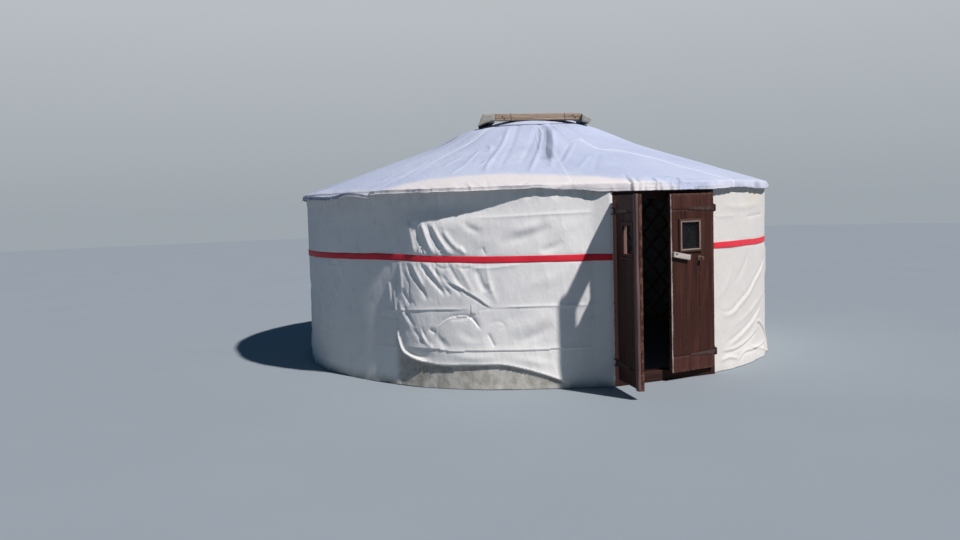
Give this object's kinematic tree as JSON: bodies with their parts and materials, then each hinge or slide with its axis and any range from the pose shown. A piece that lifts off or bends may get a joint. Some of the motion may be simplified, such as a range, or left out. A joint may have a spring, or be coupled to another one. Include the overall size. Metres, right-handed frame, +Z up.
{
  "type": "yurt with lattice walls and a two-leaf door",
  "caption": "Round canvas tent with lattice walls, a shallow cone roof on straight poles, a weighted crown cover, a red belt and a double plank door.",
  "frame": {"origin": "centre of the wall circle on the ground, in the plane of the canvas hem's lower edge", "axes": "+Z up; the doorway faces -Y, so +X is on the right of someone who looks at the door from outside"},
  "size_m": [5.05, 5.5637, 2.5726],
  "materials": {
    "wall_canvas": "cream cotton canvas with a lining, creased and dusty near the ground",
    "roof_canvas": "white canvas with a cool tint, sun-bleached",
    "webbing": "flat woven webbing, bright red",
    "lattice_wood": "thin hardwood slats, oiled",
    "pole_wood": "straight round poles, oiled",
    "ring_wood": "bent and laminated wood, oiled",
    "weathered_wood": "bare timber, weathered to grey beige",
    "frame_wood": "dark red-brown stain, satin",
    "door_boards": "vertical boards, dark red-brown stain, worn",
    "edge_wood": "red-brown stain, worn",
    "trim_wood": "grey-brown stain, worn",
    "window_glass": "clear pane, dusty",
    "hinge_iron": "strap hinges painted with the door, worn at the edges",
    "latch_wood": "bare pale softwood",
    "knob_metal": "dull, tarnished"
  },
  "bodies": {
    "tent": {"belt_strap": "webbing", "crown_cover": "roof_canvas", "crown_ring": "ring_wood", "crown_spokes": "ring_wood", "crown_timber_left": "weathered_wood", "crown_timber_right": "weathered_wood", "crown_timbers_cross": "weathered_wood", "door_jamb_left": "frame_wood", "door_jamb_right": "frame_wood", "door_lintel": "frame_wood", "door_sill": "frame_wood", "roof_canvas_back": "roof_canvas", "roof_canvas_front": "roof_canvas", "roof_canvas_left": "roof_canvas", "roof_canvas_right": "roof_canvas", "roof_poles_back": "pole_wood", "roof_poles_front": "pole_wood", "roof_poles_left": "pole_wood", "roof_poles_right": "pole_wood", "wall_canvas_hem": "wall_canvas", "wall_canvas_left_back": "wall_canvas", "wall_canvas_left_front": "wall_canvas", "wall_canvas_left_side": "wall_canvas", "wall_canvas_right_back": "wall_canvas", "wall_canvas_right_front": "wall_canvas", "wall_canvas_right_side": "wall_canvas", "wall_lattice_left_back": "lattice_wood", "wall_lattice_left_front": "lattice_wood", "wall_lattice_left_side": "lattice_wood", "wall_lattice_right_back": "lattice_wood", "wall_lattice_right_front": "lattice_wood", "wall_lattice_right_side": "lattice_wood", "left_hinge_brackets": "hinge_iron", "right_hinge_brackets": "hinge_iron"},
    "left_door": {"left_edge_strip": "edge_wood", "left_leaf": "door_boards", "left_strap_hinges": "hinge_iron", "left_window_pane": "window_glass", "left_window_trim": "trim_wood"},
    "right_door": {"right_door_knob": "knob_metal", "right_latch_bar": "latch_wood", "right_leaf": "door_boards", "right_strap_hinges": "hinge_iron", "right_window_pane": "window_glass", "right_window_trim": "trim_wood"}
  },
  "joints": [
    {"name": "left_door_hinge", "type": "hinge", "parent": "tent", "child": "left_door", "pos_m": [-0.526, -2.52, 0.86], "axis": [0, 0, -1], "range_deg": [-102.5, 57.5]},
    {"name": "right_door_hinge", "type": "hinge", "parent": "tent", "child": "right_door", "pos_m": [0.526, -2.52, 0.86], "axis": [0, 0, 1], "range_deg": [-6, 154]}
  ]
}
